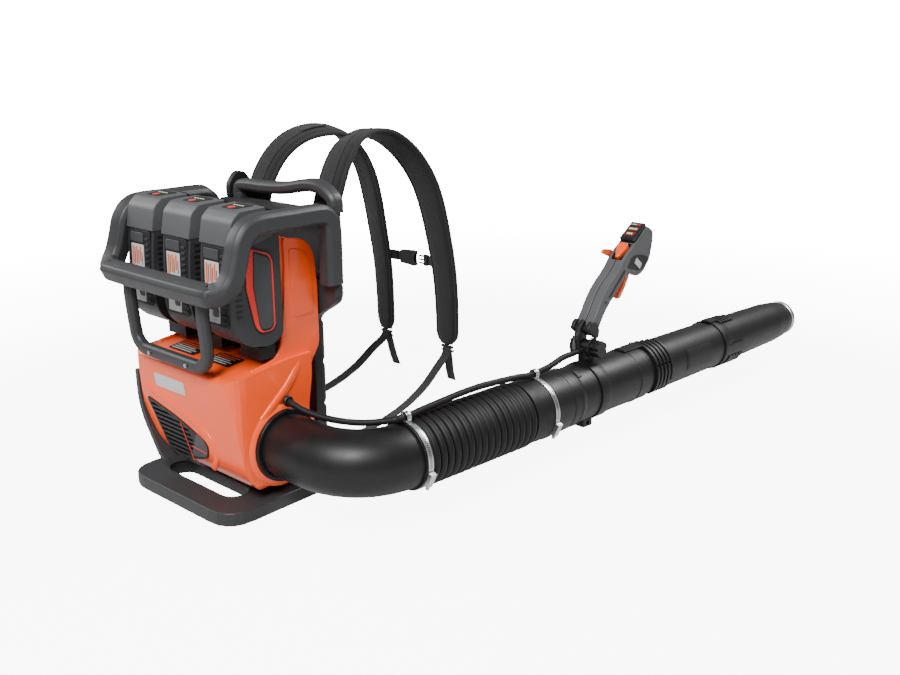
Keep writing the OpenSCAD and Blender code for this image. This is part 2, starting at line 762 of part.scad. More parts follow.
// ---- control cable, clipped along the elbow and the hose ----
clip_up = [0, 0, cuff_r + cable_r + 3.9];
clip_1 = on_tube(clamp_near_s + 6) + clip_up;
clip_2 = on_tube(clamp_far_s + 6) + clip_up;
near_route = [[162, 8, 214], [178, 8, 211], [215, 14, 202], [265, 28, 197], [315, 50, 197],
    [352, 74, 202], clip_1 - 26 * tube_dir, clip_1 - 10 * tube_dir];
middle_route = [clip_1 - 8.5 * tube_dir, clip_1 + 8 * tube_dir, clip_1 + 70 * tube_dir + [0, 0, 5],
    clip_1 + 180 * tube_dir + [0, 0, 11], clip_1 + 290 * tube_dir + [0, 0, 5],
    clip_2 - 26 * tube_dir, clip_2 - 10 * tube_dir];
far_route = [clip_2 - 8.5 * tube_dir, clip_2 + 8 * tube_dir, clip_2 + 50 * tube_dir + [-1, 0, 4],
    [413, 560, 219], [415, 600, 221], [pivot.x + 9.5, pivot.y - 22.4, 221]];
module cable(route) {
    color("#202021") sweep(smooth(route, 5), [0, 0, 1], round_section(cable_r, 8));
}
module cable_near() { cable(near_route); }
module cable_middle() { cable(middle_route); }
module cable_far() { cable(far_route); }

base_plate();
rubber_mounts();
back_frame();
carry_handle();
cage_upper();
cage_lower();
body_cover();
battery_tower();
side_intake();
front_grille();
volute_front();
volute_rear();
outlet_collar();
elbow_duct();
hose_clamp_near();
motor_stator();
motor_bearings();
motor_rotor();
impeller();
controller_board();
battery_rails();
frame_bolts();
back_pad();
strap_left();
strap_right();
webbing_left();
webbing_right();
buckle_female();
buckle_male();
cable_near();
cable_middle();
cable_far();
battery_left();
battery_middle();
battery_right();
cells_left();
cells_middle();
cells_right();
button_left();
button_middle();
button_right();
latch_left();
latch_middle();
latch_right();
bellows_hose();
hose_clamp_far();
swivel_cuff();
first_pipe();
handle_clamp();
clamp_knob();
middle_pipe();
nozzle_pipe();
nozzle_ring();
handle_left();
handle_right();
handle_display();
throttle_trigger();
cruise_lever();
thumb_button();
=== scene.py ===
"""Looks of the battery backpack leaf blower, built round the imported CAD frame."""

import json
import math

import bmesh
import bpy
from mathutils import Matrix, Vector


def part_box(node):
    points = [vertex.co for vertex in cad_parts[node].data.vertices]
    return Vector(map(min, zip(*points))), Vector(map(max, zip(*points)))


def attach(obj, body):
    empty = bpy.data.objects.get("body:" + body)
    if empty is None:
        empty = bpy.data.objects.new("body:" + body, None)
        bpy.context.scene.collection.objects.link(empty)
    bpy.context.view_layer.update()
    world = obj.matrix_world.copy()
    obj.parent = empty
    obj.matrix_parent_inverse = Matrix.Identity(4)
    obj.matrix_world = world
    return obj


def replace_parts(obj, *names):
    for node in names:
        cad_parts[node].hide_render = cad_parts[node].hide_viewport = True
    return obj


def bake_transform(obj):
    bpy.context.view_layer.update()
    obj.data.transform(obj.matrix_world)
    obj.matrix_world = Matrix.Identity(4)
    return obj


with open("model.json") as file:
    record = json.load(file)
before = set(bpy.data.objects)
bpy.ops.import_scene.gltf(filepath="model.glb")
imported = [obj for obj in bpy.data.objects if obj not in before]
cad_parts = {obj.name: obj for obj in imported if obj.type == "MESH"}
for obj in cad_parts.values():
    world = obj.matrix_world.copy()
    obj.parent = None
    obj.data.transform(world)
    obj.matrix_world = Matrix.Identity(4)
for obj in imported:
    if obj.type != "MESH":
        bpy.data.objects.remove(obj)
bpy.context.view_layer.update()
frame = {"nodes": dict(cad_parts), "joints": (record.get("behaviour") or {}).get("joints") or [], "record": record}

MM = 0.001
SIDES = ("left", "middle", "right")
# Levels of plain reflection, under the shader's own 0.5 so that black parts stay black
PLASTIC_SPECULAR, RUBBER_SPECULAR, FLOOR_SPECULAR = 0.36, 0.3, 0.1
FABRIC_SHEEN = 0.06


# ---- materials ----
class Nodes:
    """Short names for building one node material."""

    def __init__(self, name):
        self.material = bpy.data.materials.new(name)
        self.material.use_nodes = True
        self.tree = self.material.node_tree
        self.shader = self.tree.nodes["Principled BSDF"]
        self.place = self.tree.nodes.new("ShaderNodeTexCoord").outputs["Object"]

    def node(self, kind, **values):
        made = self.tree.nodes.new(kind)
        for key, value in values.items():
            if key in made.inputs:
                made.inputs[key].default_value = value
            else:
                setattr(made, key, value)
        return made

    def link(self, a, b):
        self.tree.links.new(a, b)

    def noise(self, scale, detail=4.0, stretch=None):
        made = self.node("ShaderNodeTexNoise", Scale=scale, Detail=detail)
        if stretch:
            mapping = self.node("ShaderNodeMapping")
            mapping.inputs["Scale"].default_value = stretch
            self.link(self.place, mapping.inputs["Vector"])
            self.link(mapping.outputs["Vector"], made.inputs["Vector"])
        else:
            self.link(self.place, made.inputs["Vector"])
        return made.outputs["Fac"]

    def wave(self, scale, direction):
        made = self.node("ShaderNodeTexWave", Scale=scale, bands_direction=direction)
        self.link(self.place, made.inputs["Vector"])
        return made.outputs["Fac"]

    def mix(self, mode, a, b):
        made = self.node("ShaderNodeMath", operation=mode)
        self.link(a, made.inputs[0])
        self.link(b, made.inputs[1])
        return made.outputs[0]

    def remap(self, value, low, high):
        made = self.node("ShaderNodeMapRange")
        made.inputs["To Min"].default_value = low
        made.inputs["To Max"].default_value = high
        self.link(value, made.inputs["Value"])
        return made.outputs["Result"]

    def colour(self, base, spread, value):
        ramp = self.node("ShaderNodeValToRGB")
        for stop, place, gain in ((0, 0.3, 1 - spread), (1, 0.7, 1 + spread)):
            ramp.color_ramp.elements[stop].position = place
            ramp.color_ramp.elements[stop].color = [min(1, c * gain) for c in base[:3]] + [1]
        self.link(value, ramp.inputs["Fac"])
        self.link(ramp.outputs["Color"], self.shader.inputs["Base Color"])

    def bump(self, value, depth, strength=1.0):
        made = self.node("ShaderNodeBump", Strength=strength, Distance=depth)
        self.link(value, made.inputs["Height"])
        self.link(made.outputs["Normal"], self.shader.inputs["Normal"])


def plastic(name, base, rough, grain, depth, coat=0.0):
    n = Nodes(name)
    n.colour(base, 0.07, n.noise(9))
    n.link(n.remap(n.noise(38, 6), rough - 0.06, rough + 0.08), n.shader.inputs["Roughness"])
    n.bump(n.noise(grain, 3), depth, 0.6)
    n.shader.inputs["Specular IOR Level"].default_value = PLASTIC_SPECULAR
    n.shader.inputs["Coat Weight"].default_value = coat
    n.shader.inputs["Coat Roughness"].default_value = 0.12
    return n.material


def rubber(name, base):
    n = Nodes(name)
    n.colour(base, 0.18, n.noise(14, 5))
    n.link(n.remap(n.noise(60, 5), 0.42, 0.6), n.shader.inputs["Roughness"])
    n.bump(n.noise(700, 3), 0.0002, 0.6)
    n.shader.inputs["Specular IOR Level"].default_value = RUBBER_SPECULAR
    return n.material


def metal(name, base, rough):
    n = Nodes(name)
    n.colour(base, 0.1, n.noise(40, 6))
    n.link(n.remap(n.noise(180, 3, (1, 1, 9)), rough - 0.07, rough + 0.1),
           n.shader.inputs["Roughness"])
    n.bump(n.noise(500, 2, (1, 1, 12)), 0.0001, 0.4)
    n.shader.inputs["Metallic"].default_value = 1.0
    return n.material


def cloth(name, base, threads, depth):
    n = Nodes(name)
    n.colour(base, 0.25, n.noise(24, 6))
    weave = n.mix("ADD", n.wave(threads, "X"), n.wave(threads, "Z"))
    n.link(n.remap(n.noise(90, 4), 0.78, 0.95), n.shader.inputs["Roughness"])
    n.bump(n.mix("ADD", weave, n.noise(900, 2)), depth, 0.7)
    n.shader.inputs["Sheen Weight"].default_value = FABRIC_SHEEN
    n.shader.inputs["Sheen Roughness"].default_value = 0.5
    return n.material


def light(name, base, power):
    n = Nodes(name)
    n.colour(base, 0.1, n.noise(200))
    n.link(n.remap(n.noise(90), 0.2, 0.35), n.shader.inputs["Roughness"])
    n.shader.inputs["Emission Color"].default_value = list(base) + [1]
    n.shader.inputs["Emission Strength"].default_value = power
    return n.material


# Share of the record's colour that is kept, so that dark parts look dark under these lamps
DEPTH = {"guard_grey": 0.32, "dark_grey": 0.36, "handle_grey": 0.6, "battery_case": 0.4,
         "strap_fabric": 0.2, "webbing": 0.25, "foam": 0.25, "tube_black": 0.35,
         "hose_rubber": 0.3, "black_plastic": 0.4, "cable_black": 0.3, "mount_rubber": 0.4}
SHELL_ORANGE = (1.0, 0.085, 0.006)


def slot_material(slot):
    """The record's material slot as a node material."""
    name, kind, base = slot["slot"], slot["class"], slot["base_color"]
    base = [c * DEPTH.get(name, 1.0) for c in base]
    if name in ("orange_shell", "orange_trim"):
        base = SHELL_ORANGE
    if kind == "fabric":
        fine = name == "webbing"
        return cloth(name, base, 420 if fine else 260, 0.0005 if fine else 0.0004)
    if kind == "rubber":
        return rubber(name, base)
    if kind in ("brushed_steel", "aluminium", "brass"):
        return metal(name, base, 0.28)
    if kind == "gloss_plastic":
        return plastic(name, base, 0.3, 160, 0.00005, 0.35)
    return plastic(name, base, 0.43, 1300, 0.00012)


record = frame["record"]
MATERIALS = {s["slot"]: slot_material(s) for s in record["materials"]}
NODE_SLOT = {s["node"]: s["material_slot"] for s in record["subparts"]}
EXTRA = {
    "cap_grey": plastic("cap_grey", (0.062, 0.063, 0.066), 0.42, 1300, 0.00012),
    "core_black": plastic("core_black", (0.009, 0.009, 0.0095), 0.5, 1300, 0.00015),
    "panel_grey": plastic("panel_grey", (0.04, 0.042, 0.044), 0.36, 600, 0.00006),
    "label_grey": plastic("label_grey", (0.5, 0.5, 0.49), 0.4, 300, 0.00004),
    "label_orange": plastic("label_orange", (0.8, 0.11, 0.02), 0.4, 300, 0.00004),
    "accent_red": plastic("accent_red", (0.78, 0.02, 0.012), 0.35, 300, 0.00004),
    "led_green": light("led_green", (0.62, 0.85, 0.4), 0.6),
}


# ---- shapes ----
def add(name, points, faces, material, body, smooth=38, bevel=0.0):
    """A mesh piece, given in millimetres in the row frame, that rides on a CAD body."""
    mesh = bpy.data.meshes.new(name)
    mesh.from_pydata([Vector(p) * MM for p in points], [], faces)
    mesh.validate()
    piece = bpy.data.objects.new(name, mesh)
    bpy.context.scene.collection.objects.link(piece)
    outward(mesh)
    dress(piece, material)
    if bevel:
        soften(piece, bevel)
    for face in mesh.polygons:
        face.use_smooth = True
    mesh.set_sharp_from_angle(angle=math.radians(smooth))
    if body:
        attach(piece, body)
    return piece


def outward(mesh):
    """Turns every face outwards."""
    b = bmesh.new()
    b.from_mesh(mesh)
    bmesh.ops.recalc_face_normals(b, faces=b.faces)
    b.to_mesh(mesh)
    b.free()


def dress(piece, material):
    piece.data.materials.clear()
    piece.data.materials.append(EXTRA.get(material) or MATERIALS[material])


def soften(piece, width, segments=3):
    """Rounds the sharp edges by width, in millimetres."""
    weld = piece.modifiers.new("weld", "WELD")
    weld.merge_threshold = 1e-5
    bevel = piece.modifiers.new("bevel", "BEVEL")
    bevel.width = width * MM
    bevel.segments = segments
    bevel.limit_method = "ANGLE"
    bevel.angle_limit = math.radians(40)
    bevel.harden_normals = True


def smooth_path(p, steps=8):
    """The same smooth curve through the points as the part's sweeps follow."""
    p = [Vector(q) for q in p]
    out = []
    for i in range(len(p) - 1):
        a, b, c, d = p[max(i - 1, 0)], p[i], p[i + 1], p[min(i + 2, len(p) - 1)]
        for k in range(steps):
            t = k / steps
            out.append(0.5 * (2 * b + (c - a) * t + (2 * a - 5 * b + 4 * c - d) * t * t
                              + (3 * b - a - 3 * c + d) * t ** 3))
    return out + [p[-1]]


def stations(path, side):
    """Distance, place, width direction and thickness direction along a path."""
    last, travelled, side = len(path) - 1, 0.0, Vector(side)
    for i, p in enumerate(path):
        ahead = (path[min(i + 1, last)] - path[max(i - 1, 0)]).normalized()
        side = (side - ahead * side.dot(ahead)).normalized()
        if i:
            travelled += (p - path[i - 1]).length
        yield travelled, p, side, ahead.cross(side)


def tube_faces(rings, n):
    faces = [(i * n + j, (i + 1) * n + j, (i + 1) * n + (j + 1) % n, i * n + (j + 1) % n)
             for i in range(rings - 1) for j in range(n)]
    return faces + [tuple(range(n)), tuple(reversed(range((rings - 1) * n, rings * n)))]


def sweep(name, path, side, section, material, body, size=None, lift=0.0, smooth=50):
    """A section carried along a path. size gives its width and thickness factors at a distance."""
    points, rings = [], 0
    for travelled, p, u, w in stations(path, side):
        wide, thick = size(travelled) if size else (1, 1)
        points += [p + u * q[0] * wide + w * (q[1] * thick + lift) for q in section]
        rings += 1
    return add(name, points, tube_faces(rings, len(section)), material, body, smooth)


def round_section(r, n=20, x=0.0, y=0.0):
    """A circle about (x, y)."""
    return [(x + r * math.cos(math.tau * k / n), y + r * math.sin(math.tau * k / n))
            for k in range(n)]


def soft_section(w, t, power=4.0, n=32):
    """A rounded rectangle."""
    out = []
    for k in range(n):
        a = math.tau * k / n
        c, s = math.cos(a), math.sin(a)
        out.append((w / 2 * math.copysign(abs(c) ** (2 / power), c),
                    t / 2 * math.copysign(abs(s) ** (2 / power), s)))
    return out


def chamfered(w, t, c):
    """A rectangle with flat chamfers whose edges are slightly eased."""
    w, t = w / 2, t / 2
    return rounded([(w, -t + c, 2.4), (w, t - c, 2.4), (w - c, t, 2.4), (-w + c, t, 2.4),
                    (-w, t - c, 2.4), (-w, -t + c, 2.4), (-w + c, -t, 2.4), (w - c, -t, 2.4)], 3)


def lathe(name, profile, place, material, body, n=72, smooth=32):
    """A closed profile of radius and station, turned about the local Z axis of place."""
    points = [place @ Vector((r * math.cos(math.tau * k / n), r * math.sin(math.tau * k / n), s))
              for r, s in profile for k in range(n)]
    m = len(profile)
    faces = [(i * n + k, i * n + (k + 1) % n, (i + 1) % m * n + (k + 1) % n, (i + 1) % m * n + k)
             for i in range(m) for k in range(n)]
    return add(name, points, faces, material, body, smooth)


def arc_plate(name, place, s, r, angles, material, body, bevel=0.0, n=16):
    """A curved plate on a pipe: stations s, radii r and angles in degrees from the top."""
    points = []
    for k in range(n + 1):
        a = math.radians(angles[0] + (angles[1] - angles[0]) * k / n - 90)
        points += [place @ Vector((rr * math.cos(a), rr * math.sin(a), ss))
                   for rr, ss in ((r[0], s[0]), (r[1], s[0]), (r[1], s[1]), (r[0], s[1]))]
    return add(name, points, tube_faces(n + 1, 4), material, body, 32, bevel)


def prism(name, outline, depth, place, material, body, bevel=0.4):
    """An outline in the local XY plane of place, thick along local Z from depth[0] to depth[1]."""
    n = len(outline)
    points = [place @ Vector((x, y, z)) for z in depth for x, y in outline]
    faces = [tuple(range(n)), tuple(range(n, 2 * n))]
    faces += [(i, (i + 1) % n, n + (i + 1) % n, n + i) for i in range(n)]
    return add(name, points, faces, material, body, 30, bevel)


def rounded(corners, n=5):
    """An outline whose corners (x, y, r) are rounded."""
    out = []
    for i, (x, y, r) in enumerate(corners):
        p = Vector((x, y))
        a, b = Vector(corners[i - 1][:2]), Vector(corners[(i + 1) % len(corners)][:2])
        r = min(r, 0.48 * (a - p).length, 0.48 * (b - p).length)
        if not r:
            out.append(tuple(p))
            continue
        pa, pb = p + r * (a - p).normalized(), p + r * (b - p).normalized()
        for k in range(n + 1):
            t = k / n
            out.append(tuple((1 - t) ** 2 * pa + 2 * t * (1 - t) * p + t * t * pb))
    return out


def slab(x0, y0, x1, y1, r):
    return rounded([(x0, y0, r), (x1, y0, r), (x1, y1, r), (x0, y1, r)])


def plane(origin, x, y):
    """The place whose local X and Y axes are x and y."""
    x, y = Vector(x).normalized(), Vector(y).normalized()
    place = Matrix((x, y, x.cross(y))).transposed().to_4x4()
    place.translation = Vector(origin)
    return place


# ---- places, from the frame ----
def corners(node):
    low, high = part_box(node)
    return low / MM, high / MM


JOINTS = {j["name"]: j for j in frame["joints"]}
tube_dir = Vector(JOINTS["tube_swivel"]["axis"])
tube_angle = math.atan2(tube_dir.x, tube_dir.y)
# sizes that the part also has, in millimetres
YAW_STATION = 80.0
GRIP_LEAN = math.radians(36)
ELBOW_BEND, OUTLET_X, OUTLET_Y = 120.0, 150.0, -6.0
CLIP_UP = 77.6
PACK_HALF = 43.5
FRONT_FOOT, FRONT_LEAN = (0, -121, 281), math.radians(7)
tube_start = Vector(JOINTS["hose_yaw"]["pos_m"]) / MM - YAW_STATION * tube_dir
pivot = Vector(JOINTS["handle_tilt"]["pos_m"]) / MM
battery_x = [sum(v.x for v in corners("battery_" + s)) / 2 for s in SIDES]
TUBE = (Matrix.Translation(tube_start) @ Matrix.Rotation(-tube_angle, 4, "Z")
        @ Matrix.Rotation(math.radians(-90), 4, "X"))
HANDLE = Matrix.Translation(pivot) @ Matrix.Rotation(-GRIP_LEAN, 4, "X")
FRONT = Matrix.Translation(FRONT_FOOT) @ Matrix.Rotation(FRONT_LEAN, 4, "X")
FRONT_FACE = FRONT @ Matrix.Rotation(math.radians(90), 4, "X")
SIDE_PLANE = plane((0, 0, 0), (0, 1, 0), (0, 0, 1))


def on_tube(s, up=0.0):
    return tube_start + s * tube_dir + Vector((0, 0, up))


# ---- CAD nodes that stay: finish and softened edges ----
SOFTEN = {
    "base_plate": 5, "rubber_mounts": 1, "back_frame": 3, "body_cover": 4, "battery_tower": 3,
    "side_intake": 1.2, "front_grille": 0.5, "outlet_collar": 1.5, "frame_bolts": 0.6,
    "battery_left": 2.2, "battery_middle": 2.2, "battery_right": 2.2, "latch_left": 0.8,
    "latch_middle": 0.8, "latch_right": 0.8, "button_left": 0.6, "button_middle": 0.6,
    "button_right": 0.6, "buckle_female": 0.9, "buckle_male": 0.6, "handle_display": 0.6,
    "throttle_trigger": 1.2, "cruise_lever": 1.2, "handle_clamp": 0.8, "clamp_knob": 1.2, "hose_clamp_near": 0.3,
    "hose_clamp_far": 0.3,
}
for node, piece in frame["nodes"].items():
    dress(piece, NODE_SLOT[node])
    if node in ("handle_left", "handle_right"):
        skin = piece.modifiers.new("skin", "REMESH")
        skin.mode, skin.voxel_size, skin.use_smooth_shade = "VOXEL", 0.0013, True
        ease = piece.modifiers.new("ease", "SMOOTH")
        ease.factor, ease.iterations = 0.5, 14
    elif node in SOFTEN:
        soften(piece, SOFTEN[node])


# ---- guard, foot bar and carrying handle ----
GUARD_SIDE = [(185, 111, 430), (185, 111, 525), (185, 106, 550), (185, 92, 564), (185, 72, 567),
              (185, 10, 567), (185, -56, 567), (185, -82, 560), (185, -99, 540),
              (185, -108, 512), (185, -118, 482), (181, -132, 461), (164, -144, 452),
              (130, -149, 450)]
FOOT_SIDE = [(118, -138, 429), (118, -138, 415), (118, -138, 400), (118, -134, 345),
             (112, -133, 318), (92, -132, 303), (60, -132, 301)]
CARRY = [(-131, 147, 560.4), (-131, 147, 568), (-131, 147, 576), (-117, 147, 588),
         (-40, 147, 590), (20, 147, 594), (90, 147, 606), (128, 147, 604), (156, 147, 588),
         (162, 147, 575), (162, 147, 568), (162, 147, 560.4)]


def both_sides(route):
    return route + [(-x, y, z) for x, y, z in reversed(route)]


guard = sweep("guard_loop", smooth_path(both_sides(GUARD_SIDE), 6), (0, 1, 0),
              chamfered(39, 39, 8), "guard_grey", "frame")
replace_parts(guard, "cage_upper")
foot = sweep("guard_foot", smooth_path(both_sides(FOOT_SIDE), 6), (1, 0, 0),
             chamfered(25, 20, 5), "guard_grey", "frame")
for x in (-60, 60):
    prism(f"foot_lug_{x}", slab(x - 12, -124, x + 12, -104, 3), (283, 299),
          Matrix.Identity(4), "guard_grey", "frame", 1.0)
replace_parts(foot, "cage_lower")
carry = sweep("carry_bar", smooth_path(CARRY, 6), (0, 1, 0), chamfered(32, 25, 7),
              "guard_grey", "frame")
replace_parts(carry, "carry_handle")
prism("carry_ear", rounded([(128, 560.3, 6), (128, 592, 14), (150, 613, 6), (170, 612, 10),
                            (187, 590, 8), (187, 578, 6), (166, 560.3, 6)]), (-158, -144),
      SIDE_PLANE, "core_black", "frame", 2)
for x in (-118, 82):
    prism(f"guard_slot_{x}", slab(-11, -2.6, 11, 2.6, 2), (-0.6, 1.0),
          plane((x, -161, 464.5), (1, 0, 0), (0, 0.7, 0.7)), "core_black", "frame", 0.2)
for x in (-60, 60):
    prism(f"foot_slot_{x}", slab(-8, -2.2, 8, 2.2, 2), (-0.6, 0.8),
          plane((x, -139.5, 309.5), (1, 0, 0), (0, 0.7, 0.7)), "core_black", "frame", 0.2)
# dark finger panel on the carrying bar, towards the outlet end
prism("carry_panel", slab(-26, -8, 26, 8, 7), (-0.4, 1.2),
      plane((112, 134.6, 603), (1, 0, -0.06), (0, 0, 1)), "core_black", "frame", 0.4)

# ---- body details: blank badges and label plates ----
prism("grille_badge", rounded([(20, -136, 10), (50, -156, 18), (43, -186, 16), (-12, -196, 2)]),
      (1.4, 2.4), FRONT_FACE, "panel_grey", "frame", 0.4)
for k, (a, b) in enumerate((((-30, -128), (-6, -206)), ((-4, -172), (44, -176)))):
    run = Vector(b) - Vector(a)
    across = Vector((-run.y, run.x)).normalized() * 0.7
    prism(f"grille_line_{k}", [tuple(Vector(a) - across), tuple(Vector(b) - across),
                               tuple(Vector(b) + across), tuple(Vector(a) + across)],
          (2.2, 3.0), FRONT_FACE, "accent_red", "frame", 0)
WING = [(24, 527, 6), (74, 519, 16), (98, 493, 16), (104, 420, 6), (103, 306, 10), (77, 266, 8),
        (-60, 266, 6), (-66, 290, 6), (-10, 299, 22), (9, 322, 24), (19, 400, 10), (25, 471, 6)]
for name, s in (("right", 1), ("left", -1)):
    prism(f"side_wing_{name}", rounded(WING, 8), (s * 145.5, s * 152.0), SIDE_PLANE,
          "orange_shell", "frame", 2.4)
    prism(f"wing_relief_{name}", rounded([(36, 506, 8), (66, 500, 14), (84, 478, 14),
                                          (90, 420, 6), (89, 372, 10), (40, 372, 10),
                                          (34, 400, 8)], 6), (s * 151.4, s * 153.6), SIDE_PLANE,
          "orange_shell", "frame", 1.8)
OUTLET = plane((0, OUTLET_Y, tube_start.z), (0, 1, 0), (0, 0, 1))
lathe("outlet_swell", [(66.7, 158), (66.7, 165.0), (69.5, 166.6), (75, 165.4), (81, 162.4),
                       (84, 158)], OUTLET, "orange_shell", "frame")
sweep("cable_rib", smooth_path([(158, -58, 186), (161, -34, 208), (161, 0, 236), (160, 24, 260),
                                (157, 44, 284)], 6), (0, 1, -1), soft_section(16, 9, 2.4),
      "orange_shell", "frame")
sweep("front_brow", smooth_path([FRONT @ Vector(q) for q in ((-138, 0, -70), (-80, 0, -84),
      (-20, 0, -100), (34, 0, -122), (66, 0, -146), (72, 0, -176), (56, 0, -206))], 6),
      (0, 0, 1), soft_section(13, 6, 2.2), "orange_shell", "frame")
prism("front_blank", slab(-94, -62, 6, -34, 4), (0.2, 1.0),
      FRONT_FACE, "label_grey", "frame", 0.4)
for name, x, wide in (("label_a", -62, 84), ("label_b", 56, 74)):
    place = plane((x, -54, 289.6), (1, 0, 0), (0, 1, 0.114))
    prism(name, slab(-wide / 2, -20, wide / 2, 20, 3), (-0.6, 0.6), place, "core_black",
          "frame", 0.2)
    for row in range(5):
        prism(f"{name}_bar_{row}", slab(-wide / 2 + 5, 13 - 7 * row, wide / 2 - 8 - 6 * (row % 3),
                                        15.5 - 7 * row, 0.8), (0.4, 0.9), place,
              "label_orange" if row < 2 else "label_grey", "frame", 0)

# ---- batteries ----
SLOT_ROWS = 12
CAP = [(-97, 574, 8), (-79, 590, 6), (-22, 592.4, 2), (-20, 582, 0), (-4, 571, 2), (-4, 540, 6),
       (-40, 528, 10), (-106.5, 528, 4)]
SIDE_PANEL = [(-70, 524, 2), (-18, 506, 8), (-12, 490, 6), (-12, 372, 12), (-20, 362, 8),
              (-46, 362, 10), (-58, 376, 8), (-74, 450, 6)]
SIDE_PLATE = [(-54, 512, 2), (-23, 500, 6), (-17, 488, 5), (-17, 376, 9), (-23, 368, 6),
              (-42, 368, 8), (-48, 378, 6), (-58, 450, 4)]


def inset(outline, share):
    """The same outline, drawn in towards its middle."""
    cx = sum(p[0] for p in outline) / len(outline)
    cy = sum(p[1] for p in outline) / len(outline)
    return [(cx + (x - cx) * share, cy + (y - cy) * share, r) for x, y, r in outline]


def pack_front(side, bx, pack):
    """The black front with its blank label plates and a column of ribs."""
    front = plane((bx, -105, 500), (1, 0, 0), (0, 0.04, 1))
    prism(f"front_core_{side}", slab(-36, -118, 36, 27, 6), (-1.0, 1.6), front, "core_black",
          pack, 0.8)
    prism(f"front_step_{side}", slab(-30, 3, 14, 22, 3), (1.2, 3.4), front, "panel_grey", pack,
          0.8)
    prism(f"front_slot_{side}", slab(-31, 27, 31, 34, 2), (2.4, 4.2),
          plane((bx, -102.5, 500), (1, 0, 0), (0, 0.1, 1)), "core_black", pack, 0.4)
    prism(f"front_label_{side}", slab(-29, -48, 13, -1, 2), (1.3, 2.1), front, "label_grey",
          pack, 0.2)
    for k in range(3):
        x = 12 * k
        prism(f"label_stripe_{side}_{k}", slab(x - 25, -44 + 5 * k, x - 20, -5, 1),
              (1.9, 2.5), front, "label_orange", pack, 0)
        prism(f"label_line_{side}_{k}", slab(x - 18, -40, x - 16, -8 - 4 * k, 0.6),
              (1.9, 2.4), front, "panel_grey", pack, 0)
    prism(f"lower_label_{side}", slab(-29, -113, 13, -80, 3), (1.3, 2.1), front, "label_grey",
          pack, 0.2)
    prism(f"lower_patch_{side}", slab(-8, -102, 10, -84, 5), (1.9, 2.4), front, "panel_grey",
          pack, 0.2)
    for k in range(SLOT_ROWS):
        y = -112 + 11 * k
        prism(f"front_rib_{side}_{k}", rounded([(19, y, 2), (30, y + 1.5, 2.5), (33, y + 6, 2.5),
                                                (24, y + 5, 2), (19, y + 5, 2)]),
              (1.3, 3.4), front, "battery_case", pack, 0.7)


def pack_cheeks(side, bx, pack):
    """Cooling slots up both cheeks, near the front."""
    for k in range(SLOT_ROWS):
        z = 398 + 10.5 * k
        y = -97 if z < 500 else -95
        for s in (-1, 1):
            prism(f"cheek_slot_{side}_{k}_{s}", slab(y, z, y + 13, z + 5.5, 2.5),
                  (bx + s * (PACK_HALF - 0.4), bx + s * (PACK_HALF + 0.7)), SIDE_PLANE,
                  "core_black", pack, 0.3)


def pack_sides(side, pack, across):
    """Side panels with their red border, as four thin plates on each other."""
    layers = (("dark", inset(SIDE_PANEL, 1.06), -0.5, 0.9, "core_black", 0.4),
              ("red", SIDE_PANEL, 0.5, 1.4, "accent_red", 0.2),
              ("rim", inset(SIDE_PLATE, 1.06), 1.0, 1.7, "core_black", 0.2),
              ("plate", SIDE_PLATE, 1.4, 2.2, "panel_grey", 0.3))
    for s in (-1, 1):
        for layer, outline, near, far, material, bevel in layers:
            prism(f"side_{layer}_{side}_{s}", rounded(outline),
                  (s * (PACK_HALF + near), s * (PACK_HALF + far)), across, material, pack, bevel)


def pack_gauge(side, bx, pack):
    """A black window with four lights beside the red ring of the button."""
    top = plane((bx, -50, 591.6), (1, 0, 0), (0, 1, 0.05))
    prism(f"gauge_window_{side}", rounded([(-20, -22, 7), (20, -22, 7), (24, 20, 4),
                                           (-24, 20, 4)]), (-0.6, 0.7), top, "core_black",
          pack, 0.3)
    for k in range(4):
        prism(f"gauge_light_{side}_{k}", slab(-15 + 8 * k, 3, -10.5 + 8 * k, 6, 1), (0.5, 1.0),
              top, "led_green", pack, 0)
    prism(f"gauge_ring_{side}", round_section(7.2, 28, 0, -12), (0.4, 1.2), top, "accent_red",
          pack, 0.3)


for side, bx in zip(SIDES, battery_x):
    pack, across = "pack_" + side, plane((bx, 0, 0), (0, 1, 0), (0, 0, 1))
    prism(f"cap_{side}", rounded(CAP), (-PACK_HALF - 0.9, PACK_HALF + 0.9), across, "cap_grey",
          pack, 2.6)
    pack_front(side, bx, pack)
    pack_cheeks(side, bx, pack)
    pack_sides(side, pack, across)
    pack_gauge(side, bx, pack)

# ---- elbow, hose and pipes ----
elbow_path = [Vector((OUTLET_X, OUTLET_Y, tube_start.z))]
elbow_centre = Vector((tube_start.x - ELBOW_BEND * math.cos(tube_angle),
                       OUTLET_Y + ELBOW_BEND, tube_start.z))
for k in range(33):
    a = (math.pi / 2 - tube_angle) * k / 32
    elbow_path.append(elbow_centre + Vector((ELBOW_BEND * math.sin(a),
                                             -ELBOW_BEND * math.cos(a), 0)))
elbow_path.append(on_tube(20))


def shell(name, path, outer, inner, material, body):
    """A pipe with a wall along a path, open at both ends."""
    rings, n = [], 56
    for r in (outer, inner):
        section = round_section(r, n)
        rows = [[p + u * q[0] + w * q[1] for q in section]
                for _, p, u, w in stations(path, (0, 0, 1))]
        rings += rows if r == outer else rows[::-1]
    m = len(rings)
    faces = [(i * n + j, i * n + (j + 1) % n, (i + 1) % m * n + (j + 1) % n, (i + 1) % m * n + j)
             for i in range(m) for j in range(n)]
    return add(name, [p for row in rings for p in row], faces, material, body, 40)


elbow = shell("elbow", elbow_path, 63.0, 60.0, "tube_black", "frame")
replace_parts(elbow, "elbow_duct")

